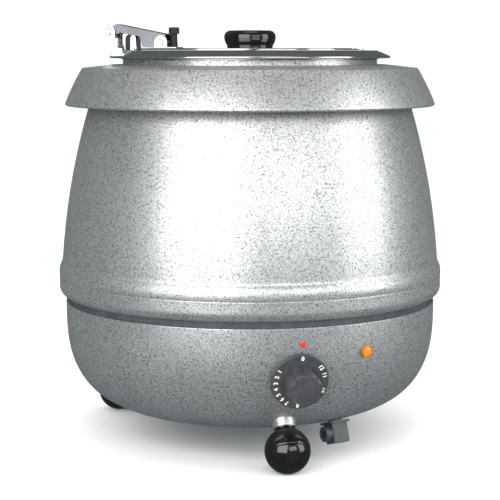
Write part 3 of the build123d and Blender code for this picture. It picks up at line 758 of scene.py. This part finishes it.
@dataclass
class Bowl(Assembly):
    """Painted bowl, its seam, base plate and fittings' seats."""

    sheet: float = 1.2
    rim: Point = (164.6, 122.7)
    flank: tuple[Point, ...] = ((163.6, 93.0), (155.6, 63.5), (132.2, 37.8))
    floor: Point = (100.0, 27.0)
    hole: float = 54.0
    flange: float = 157.0
    seam_top: float = 128.4
    gasket: float = 163.9

    def skin(self, spans: int = 12) -> list[Point]:
        """Give the points of the outer skin, from the rim down to the floor."""
        return spline((self.rim, *self.flank, self.floor), (0, -0.5), (-0.5, 0), spans)

    def seat_at(self, angle: float, height: float) -> Matrix:
        """Find the place of a fitting on the skin.

        Args:
            angle: Degrees from the front, turning to the right.
            height: Height of the fitting.

        Returns:
            Its matrix.
        """
        points = self.skin(200)
        index = min(range(1, len(points) - 1), key=lambda i: abs(points[i][1] - height))
        (x0, z0), (x1, z1) = points[index - 1], points[index + 1]
        turn = math.radians(angle)
        level = Vector((math.sin(turn), -math.cos(turn), 0))
        out = level * (z0 - z1) + Vector((0, 0, x1 - x0))
        x, z = points[index]
        return seat(level * x * MM + Vector((0, 0, z * MM)), out)

    def shell(self) -> None:
        """Turn the bowl with its flange and its service hole."""
        outer = self.skin()
        inner = []
        for before, here, after in zip([outer[0], *outer], outer, [*outer[1:], outer[-1]]):
            way = Vector((after[0] - before[0], after[1] - before[1])).normalized()
            inner.append((here[0] + way.y * self.sheet, here[1] - way.x * self.sheet))
        section = Section().line((self.flange, self.rim[1])).corner(self.rim, 0.5).line(*outer[1:])
        section.line((self.hole, self.floor[1]), (self.hole, self.floor[1] + self.sheet))
        section.line(*reversed(inner[1:]))
        under_rim = self.rim[1] - self.sheet
        section.line((self.rim[0] - self.sheet, under_rim), (self.flange, under_rim))
        self.keep(section.turned(), "bowl", ENAMEL, Body.KETTLE, ["lower_shell"])

    def seam(self) -> None:
        """Turn the rubber ring in the seam, with its outer face hollowed."""
        low, high = self.rim[1], self.seam_top
        section = Section().line((self.flange, low)).corner((self.gasket, low), 0.6)
        section.line((self.gasket - 0.5, (low + high) / 2))
        section.corner((self.gasket, high), 0.6).line((self.flange, high))
        # The ring's grey-green colour is painted shade of the recessed seam.
        self.keep(section.turned(), "seam_rubber", SEAM_SHADE, Body.KETTLE, ["seam_gasket"])

    def build(self) -> None:
        """Make the bowl, its seam and what is under it."""
        self.shell()
        self.seam()
        self.keep(copied("foot_bosses", 0.8, 3), "foot_sockets", ENAMEL, Body.KETTLE, ["foot_bosses"])
        self.keep(copied("base_plate", 0.3), "underside_plate", ZINC, Body.KETTLE, ["base_plate"])
        self.keep(copied("base_screws", 0.15), "underside_screws", ZINC, Body.KETTLE, ["base_screws"])


@dataclass
class BallFeet(Assembly):
    """Three screwed-on ball feet of polished phenolic, square to the bowl."""

    bowl: Bowl
    angles: tuple[float, float, float] = (-3.0, 131.0, -137.0)
    height: float = 39.6
    ball: float = 19.0
    flat: float = 4.0
    neck: float = 8.6
    neck_start: float = 6.0
    fillet: float = 1.4
    seam_depth: float = 0.3
    seam_width: float = 0.55

    def foot(self, reach: float) -> bmesh.types.BMesh:
        """Turn one foot, from its neck on the bowl down to the ball.

        Args:
            reach: Distance from the bowl to the ball's centre.

        Returns:
            The foot, standing on its neck.
        """
        section = Section().line((0, self.neck_start), (self.neck, self.neck_start))
        meet = reach - math.sqrt(self.ball**2 - self.neck**2)
        section.corner((self.neck, meet), self.fillet)
        lean = math.atan2(meet - reach, self.neck) + 1.2 * self.fillet / self.ball
        half = self.seam_width / self.ball
        for low, high, spans in ((lean, -half, 28), (half, math.pi / 2, 40)):
            turns = [low + (high - low) * i / spans for i in range(spans + 1)]
            section.line(*((self.ball * math.cos(t), reach + self.ball * math.sin(t)) for t in turns))
            if low < 0:
                section.line((self.ball - self.seam_depth, reach))
        section.points[-1] = (0, reach + self.ball)
        return section.turned(96)

    def build(self) -> None:
        """Set a foot under each place and cut its flat."""
        feet = bmesh.new()
        centre = math.sqrt(self.ball**2 - self.flat**2)
        for angle in self.angles:
            place = self.bowl.seat_at(angle, self.height)
            out = place.to_3x3() @ Vector((0, 0, 1))
            reach = (place.translation.z / MM - centre) / -out.z
            foot = self.foot(reach)
            bmesh.ops.transform(foot, matrix=place, verts=foot.verts)
            whole = foot.verts[:] + foot.edges[:] + foot.faces[:]
            cut = bmesh.ops.bisect_plane(
                foot, geom=whole, plane_co=(0, 0, 0), plane_no=(0, 0, 1), clear_inner=True
            )["geom_cut"]
            bmesh.ops.holes_fill(foot, edges=[e for e in cut if isinstance(e, bmesh.types.BMEdge)])
            mesh = bpy.data.meshes.new("foot")
            foot.to_mesh(mesh)
            foot.free()
            feet.from_mesh(mesh)
            bpy.data.meshes.remove(mesh)
        self.keep(feet, "ball_feet", PHENOLIC, Body.KETTLE, ["feet"])


@dataclass
class Bath(Assembly):
    """Water bath and the lift-out pot."""

    sheet: float = 0.8
    well: float = 110.0
    well_floor: float = 72.0
    well_round: float = 22.0
    well_top: float = 335.0
    well_flange: float = 113.5
    pot: float = 106.0
    pot_floor: float = 88.0
    pot_round: float = 18.0
    rim: Point = (109.0, 338.7)
    roll: float = 2.6

    def build(self) -> None:
        """Turn the well and the pot with its rolled rim."""
        t = self.sheet
        section = Section().line((0, self.well_floor)).corner((self.well, self.well_floor), self.well_round)
        section.line((self.well, self.well_top), (self.well_flange, self.well_top))
        section.line((self.well_flange, self.well_top + t)).corner((self.well - t, self.well_top + t), 1.5)
        section.corner((self.well - t, self.well_floor + t), self.well_round - t)
        section.line((0, self.well_floor + t))
        self.keep(section.turned(160), "water_bath", BRUSHED, Body.KETTLE, ["well"])
        x, z = self.rim
        section = Section().line((0, self.pot_floor)).corner((self.pot, self.pot_floor), self.pot_round)
        section.line((self.pot, z - 1.6), (x - self.roll * 0.8, z - self.roll * 0.6))
        section.arc((x + self.roll, z), (x - self.roll * 0.6, z + self.roll * 0.8), 16)
        section.corner((self.pot - t, z + 0.9), 1.2)
        section.corner((self.pot - t, self.pot_floor + t), self.pot_round - t).line((0, self.pot_floor + t))
        self.keep(section.turned(160), "lift_out_pot", BRUSHED, Body.POT, ["soup_pot"])


@dataclass
class LidRing(Assembly):
    """Loose polished ring that carries the lid."""

    sheet: float = 1.0
    hem_at: Point = (122.5, 336.9)
    hem: float = 1.1
    flat: float = 342.6
    flat_edge: float = 112.0
    opening: float = 98.6
    skirt: float = 104.8
    skirt_foot: float = 338.0

    def build(self) -> None:
        """Turn the ring with its flat, skirt and rolled tip."""
        t = self.sheet
        x, z = self.hem_at
        section = Section().corner((self.opening, self.flat), 0.3).corner((self.flat_edge, self.flat), 3.0)
        section.line((x + self.hem * 0.45, z + self.hem * 0.89))
        section.arc((x + self.hem, z - 0.1), (x - self.hem * 0.55, z - self.hem * 0.83), 10)
        section.corner((self.flat_edge - 0.3, self.flat - t), 2.4).line((self.skirt, self.flat - t))
        section.line((self.skirt, self.skirt_foot), (self.skirt - t, self.skirt_foot))
        section.line((self.skirt - t, self.flat - t), (self.opening, self.flat - t))
        self.keep(section.turned(), "loose_ring", POLISHED, Body.RING, ["lid_ring"])


@dataclass
class Lid(Assembly):
    """Polished lid and its turned knob."""

    panel: float = 344.5
    foot: float = 20.0
    waist: Point = (20.4, 347.0)
    swell: Point = (22.5, 351.6)
    rim: Point = (22.8, 355.0)
    crown_edge: Point = (17.8, 360.0)

    def knob(self) -> None:
        """Turn the knob with its swelling side and flat crown."""
        section = Section().line((0, self.panel), (self.foot, self.panel)).line(self.waist)
        section.arc(self.swell, self.rim, 12)
        section.arc((self.rim[0] - 1.5, self.rim[1] + 3.3), self.crown_edge, 10)
        section.line((self.crown_edge[0] - 2.0, self.crown_edge[1] - 0.15), (0, self.crown_edge[1] - 0.5))
        self.keep(section.turned(128), "lid_handle", PHENOLIC, Body.LID, ["lid_knob"])

    def build(self) -> None:
        """Make the lid, its knob and the knob's screw."""
        self.keep(copied("lid", 0.2), "lid_panel", POLISHED, Body.LID, ["lid"])
        self.knob()
        self.dress("lid_knob_screw", ZINC)


@dataclass
class Hinge(Assembly):
    """Pressed hinge: bracket and rest arch on the ring, link, lugs and rivets on the lid."""

    edge: float = 0.25

    def build(self) -> None:
        """Break the edges of each pressing and rivet, and dress them."""
        for node, name, finish, body in (
            ("hinge_bracket", "bracket_pressing", POLISHED_SHADED, Body.RING),
            ("hinge_arch", "rest_arch", POLISHED_SHADED, Body.RING),
            ("ring_hinge_pin", "ring_rivet", POLISHED_SHADED, Body.RING),
            ("hinge_link", "link_channel", BRUSHED_SHADED, Body.LINK),
            ("lid_lugs", "lug_pressing", POLISHED_SHADED, Body.LID),
            ("lid_hinge_pin", "lid_rivet", POLISHED_SHADED, Body.LID),
            ("lid_bumper", "rubber_stop", RUBBER, Body.LID),
        ):
            self.keep(copied(node, self.edge), name, finish, body, [node])


@dataclass
class Dial(Assembly):
    """Thermostat knob with a scalloped grip on a numbered skirt."""

    skirt: float = 24.0
    back: float = 3.4
    front: float = 6.6
    grip: float = 14.6
    face: float = 24.2
    lobes: int = 7
    scallop: float = 8.0
    scallop_at: float = 21.2
    taper: float = 0.94
    bore: float = 3.0
    digits_at: float = 20.3
    digit_size: float = 4.9
    digit_rise: float = 0.12

    def place(self) -> Matrix:
        """Give the dial's seat, from the joint that it turns on."""
        joint = next(j for j in frame["joints"] if j["name"] == "knob_turn")
        return seat(Vector(joint["pos_m"]), -Vector(joint["axis"]))

    def skirt_disc(self) -> None:
        """Turn the skirt."""
        section = Section().line((self.bore, self.back), (self.skirt - 0.8, self.back))
        section.corner((self.skirt, self.back + 0.5), 0.4).corner((self.skirt - 0.45, self.front), 0.7)
        section.line((self.bore, self.front))
        form = section.turned(128)
        bmesh.ops.transform(form, matrix=self.place(), verts=form.verts)
        self.keep(form, "dial_skirt", NYLON_SHEEN, Body.KNOB, ["control_knob"])

    def grip_outline(self) -> list[Vector]:
        """Give the grip's outline: a circle with a hollow cut between its lobes."""
        points = []
        count = self.lobes * 24
        for i in range(count):
            turn = FULL_TURN * i / count
            nearest = (round((turn - math.pi / 2) / (FULL_TURN / self.lobes))) * FULL_TURN / self.lobes
            off = turn - math.pi / 2 - nearest
            inside = self.scallop**2 - (self.scallop_at * math.sin(off)) ** 2
            radius = self.grip
            if inside > 0:
                radius = min(radius, self.scallop_at * math.cos(off) - math.sqrt(inside))
            points.append(Vector((math.cos(turn), math.sin(turn), 0)) * radius * MM)
        return points

    def grip_form(self) -> None:
        """Extrude the scalloped grip, narrow it and round its face edge."""
        form = bmesh.new()
        bottom = form.faces.new([form.verts.new(p) for p in self.grip_outline()])
        raised = bmesh.ops.extrude_face_region(form, geom=[bottom])["geom"]
        top = [v for v in raised if isinstance(v, bmesh.types.BMVert)]
        bmesh.ops.translate(form, verts=top, vec=(0, 0, (self.face - self.front) * MM))
        bmesh.ops.scale(form, verts=top, vec=(self.taper, self.taper, 1))
        rim = [e for e in form.edges if e.verts[0] in top and e.verts[1] in top]
        bmesh.ops.bevel(
            form, geom=rim, offset=0.8 * MM, offset_type="OFFSET", segments=3, profile=0.5, affect="EDGES",
            clamp_overlap=True, material=-1,
        )
        crown = max(form.faces, key=lambda f: f.calc_center_median().z)
        for share, sink in ((0.92, 0.0), (0.87, 0.25), (0.7, 0.1), (0.5, 0.05), (0.3, 0.0), (0.3, 0.0)):
            crown = bmesh.ops.extrude_discrete_faces(form, faces=[crown])["faces"][0]
            bmesh.ops.scale(form, verts=crown.verts, vec=(share, share, 1))
            bmesh.ops.translate(form, verts=crown.verts, vec=(0, 0, -sink * MM))
        bmesh.ops.translate(form, verts=form.verts, vec=(0, 0, self.front * MM))
        bmesh.ops.transform(form, matrix=self.place(), verts=form.verts)
        self.keep(form, "dial_grip", NYLON_SHEEN, Body.KNOB, ["control_knob"])

    def digits(self) -> dict[str, float]:
        """Give each printed number's angle on the skirt, in degrees from the right."""
        low_side = {str(n): 150 + 15 * (n - 1) for n in range(1, 8)}
        return {"0": 88, **low_side, "8": 267, "9": 300, "10": 338, "11": 15, "12": 36}

    def print_numbers(self) -> None:
        """Set the numbers round the skirt as thin ink."""
        form = bmesh.new()
        for text, angle in self.digits().items():
            curve = bpy.data.curves.new("digit", "FONT")
            curve.body = text
            curve.size = self.digit_size * MM
            curve.extrude = self.digit_rise / 2 * MM
            curve.offset = 0.06 * MM
            curve.align_x = "CENTER"
            curve.align_y = "CENTER"
            carrier = bpy.data.objects.new("digit", curve)
            bpy.context.scene.collection.objects.link(carrier)
            bpy.context.view_layer.update()
            mesh = bpy.data.meshes.new_from_object(carrier)
            turn = math.radians(angle)
            spot = Vector((math.cos(turn), math.sin(turn), 0)) * self.digits_at * MM
            spot.z = (self.front + self.digit_rise / 2 - 0.02) * MM
            mesh.transform(Matrix.Translation(spot) @ Matrix.Rotation(turn - math.pi / 2, 4, "Z"))
            form.from_mesh(mesh)
            bpy.data.objects.remove(carrier)
            bpy.data.curves.remove(curve)
            bpy.data.meshes.remove(mesh)
        bmesh.ops.transform(form, matrix=self.place(), verts=form.verts)
        self.keep(form, "dial_numbers", PRINT, Body.KNOB)

    def build(self) -> None:
        """Make the skirt, grip and numbers."""
        self.skirt_disc()
        self.grip_form()
        self.print_numbers()
        self.dress("thermostat_shaft", ZINC)


@dataclass
class Fittings(Assembly):
    """Dial mark, pilot lamp and cord gland on the bowl."""

    bowl: Bowl
    mark_height: float = 109.0
    mark: float = 2.4
    peg: float = 1.5
    lamp_angle: float = 20.3
    lamp_height: float = 99.0
    bezel: float = 5.6
    lens: float = 4.4

    def mark_button(self) -> None:
        """Turn the red button that the dial is read against."""
        section = Section().line((0, -3.0), (self.peg, -3.0), (self.peg, 0.15), (self.mark, 0.15))
        section.corner((self.mark - 0.15, 0.75), 0.5).line((0, 1.05))
        form = section.turned(48)
        bmesh.ops.transform(form, matrix=self.bowl.seat_at(0, self.mark_height), verts=form.verts)
        self.keep(form, "dial_mark", RED, Body.KETTLE, ["knob_pointer"])

    def lamp(self) -> None:
        """Turn the lamp's rim and its domed lens with a stepped foot."""
        place = self.bowl.seat_at(self.lamp_angle, self.lamp_height)
        section = Section().line((self.lens, 0.2), (self.bezel, 0.2)).corner((self.bezel, 2.4), 0.7)
        section.corner((self.lens, 2.4), 0.25)
        form = section.turned(64)
        bmesh.ops.transform(form, matrix=place, verts=form.verts)
        self.keep(form, "lamp_rim", AMBER_RIM, Body.KETTLE, ["pilot_bezel"])
        section = Section().line((0, 0.2), (self.lens, 0.2), (self.lens, 2.2))
        section.line((self.lens - 0.5, 2.4), (self.lens - 0.6, 3.0))
        section.arc((2.4, 3.62), (0, 3.8), 10)
        form = section.turned(64)
        bmesh.ops.transform(form, matrix=place, verts=form.verts)
        self.keep(form, "lamp_lens", AMBER, Body.KETTLE, ["pilot_lens"])

    def build(self) -> None:
        """Make the fittings that show on the bowl."""
        self.mark_button()
        self.lamp()
        self.keep(copied("gland_body", 0.5, 3), "cord_gland", MATT_BLACK, Body.KETTLE, ["gland_body"])


@dataclass
class Insides(Assembly):
    """Parts inside the casing, which keep their CAD shape."""

    def build(self) -> None:
        """Dress every hidden part."""
        for finish, nodes in {
            ZINC: (
                "foot_studs",
                "foot_nuts",
                "thermostat_nut",
                "element_clamp",
                "clamp_stud",
                "clamp_nut",
                "earth_stud",
            ),
            MATT_BLACK: ("pilot_body", "gland_nut"),
            BRUSHED: ("heating_element",),
            COPPER: ("thermostat_bulb", "capillary"),
            UREA: ("thermostat_body", "thermal_cutout", "terminal_block"),
        }.items():
            for node in nodes:
                self.dress(node, finish)


# -------------------------------------------------------------------- studio
LAMP_AIM = 0.18  # height of the kettle's middle, which the panels face, m
LAMP_GAIN = 4.0  # watts per square metre that make a panel's face white


@dataclass
class Lamp:
    """A soft light panel that faces a point."""

    name: str
    place: Vector
    width: float
    height: float
    brightness: float
    target: Vector = field(default_factory=lambda: Vector((0, 0, LAMP_AIM)))

    @classmethod
    def round_kettle(cls, name: str, way: Point, away: float, size: Point, brightness: float) -> "Lamp":
        """Hang a panel by its direction from the kettle.

        Args:
            name: Name of the panel.
            way: Degrees from the front, turning to the right, and degrees above level.
            away: Distance, in metres.
            size: Width and height, in metres.
            brightness: Brightness of its face, one being white.

        Returns:
            The panel.
        """
        turn, rise = (math.radians(angle) for angle in way)
        level = away * math.cos(rise)
        height = LAMP_AIM + away * math.sin(rise)
        return cls(name, Vector((level * math.sin(turn), -level * math.cos(turn), height)), *size, brightness)

    def build(self) -> None:
        """Hang the panel."""
        data = bpy.data.lights.new(self.name, "AREA")
        data.shape = "RECTANGLE"
        data.size = self.width
        data.size_y = self.height
        data.energy = self.brightness * LAMP_GAIN * self.width * self.height
        lamp = bpy.data.objects.new(self.name, data)
        lamp.location = self.place
        lamp.rotation_euler = (self.target - self.place).to_track_quat("-Z", "Y").to_euler()
        lamp.visible_camera = False
        bpy.context.scene.collection.objects.link(lamp)


@dataclass
class Studio:
    """Pale floor, soft light and the camera."""

    floor_side: float = 600.0
    eye: Vector = field(default_factory=lambda: Vector((-0.3440, -1.2930, 0.343)))
    tilt: float = 82.4
    turn: float = -14.9
    lens: float = 108.0
    sensor: float = 36.0
    low_wall: str = "48585A"
    high_wall: str = "686B6D"
    backdrop: float = 1.22

    def floor(self) -> None:
        """Lay the floor, a matt paper sheet."""
        form = bmesh.new()
        bmesh.ops.create_grid(form, x_segments=1, y_segments=1, size=self.floor_side / 2)
        mesh = bpy.data.meshes.new("floor")
        form.to_mesh(mesh)
        form.free()
        material = bpy.data.materials.new("matt_white_paper")
        material.use_nodes = True
        tree = material.node_tree
        surface = tree.nodes["Principled BSDF"]
        place = add(tree, "ShaderNodeTexCoord").outputs["Object"]
        fibre = add(tree, "ShaderNodeTexNoise", {"Vector": place, "Scale": 180.0, "Detail": 3.0})
        colour = add(
            tree,
            "ShaderNodeMix",
            {0: fibre.outputs["Fac"], COLOUR_A: linear("F2F3F3"), COLOUR_B: linear("FAFAF9")},
            data_type="RGBA",
        )
        tree.links.new(colour.outputs[COLOUR_OUT], surface.inputs["Base Color"])
        surface.inputs["Roughness"].default_value = 0.9
        mesh.materials.append(material)
        floor = bpy.data.objects.new("floor", mesh)
        bpy.context.scene.collection.objects.link(floor)
        floor.visible_glossy = False

    def sky(self) -> None:
        """Light the room evenly, with a white backdrop in sight."""
        world = bpy.data.worlds.new("studio")
        bpy.context.scene.world = world
        world.use_nodes = True
        tree = world.node_tree
        tree.nodes.clear()
        rays = add(tree, "ShaderNodeLightPath")
        way = add(tree, "ShaderNodeTexCoord").outputs["Generated"]
        height = add(tree, "ShaderNodeSeparateXYZ", {0: way}).outputs[2]
        share = add(
            tree, "ShaderNodeMapRange", {"Value": height, "From Min": -0.5, "From Max": 0.9}
        )
        walls = add(
            tree,
            "ShaderNodeMix",
            {0: share.outputs[0], COLOUR_A: linear(self.low_wall), COLOUR_B: linear(self.high_wall)},
            data_type="RGBA",
        )
        room = add(tree, "ShaderNodeBackground", {"Color": walls.outputs[COLOUR_OUT]})
        backdrop = add(tree, "ShaderNodeBackground", {"Color": (1, 1, 1, 1), "Strength": self.backdrop})
        both = add(
            tree,
            "ShaderNodeMixShader",
            {0: rays.outputs["Is Glossy Ray"], 1: backdrop.outputs[0], 2: room.outputs[0]},
        )
        add(tree, "ShaderNodeOutputWorld", {"Surface": both.outputs[0]})

    def camera(self) -> None:
        """Set the camera, a long lens a little above the lid."""
        data = bpy.data.cameras.new("camera")
        data.lens = self.lens
        data.sensor_width = self.sensor
        camera = bpy.data.objects.new("camera", data)
        camera.location = self.eye
        camera.rotation_euler = (math.radians(self.tilt), 0, math.radians(self.turn))
        bpy.context.scene.collection.objects.link(camera)
        bpy.context.scene.camera = camera

    def build(self) -> None:
        """Set up the studio."""
        self.floor()
        self.sky()
        for lamp in (
            Lamp.round_kettle("key_panel", (-41, 20), 1.8, (1.6, 1.4), 3.4),
            Lamp.round_kettle("front_panel", (12, 18), 1.9, (1.2, 0.6), 2.8),
            Lamp.round_kettle("side_panel", (58, 17), 1.8, (0.9, 1.3), 3.0),
            Lamp.round_kettle("top_panel", (0, 88), 1.9, (1.1, 1.1), 0.9),
        ):
            lamp.build()
        self.camera()
        bpy.context.scene.view_settings.view_transform = "Standard"


def main() -> None:
    """Build the kettle's sub-assemblies, then the studio."""
    logging.basicConfig(level=logging.INFO, format="%(name)s %(message)s")
    Casing().build()
    bowl = Bowl()
    bowl.build()
    for part in (BallFeet(bowl), Bath(), LidRing(), Lid(), Hinge(), Dial(), Fittings(bowl), Insides()):
        part.build()
    Studio().build()


if __name__ == "__main__":
    main()
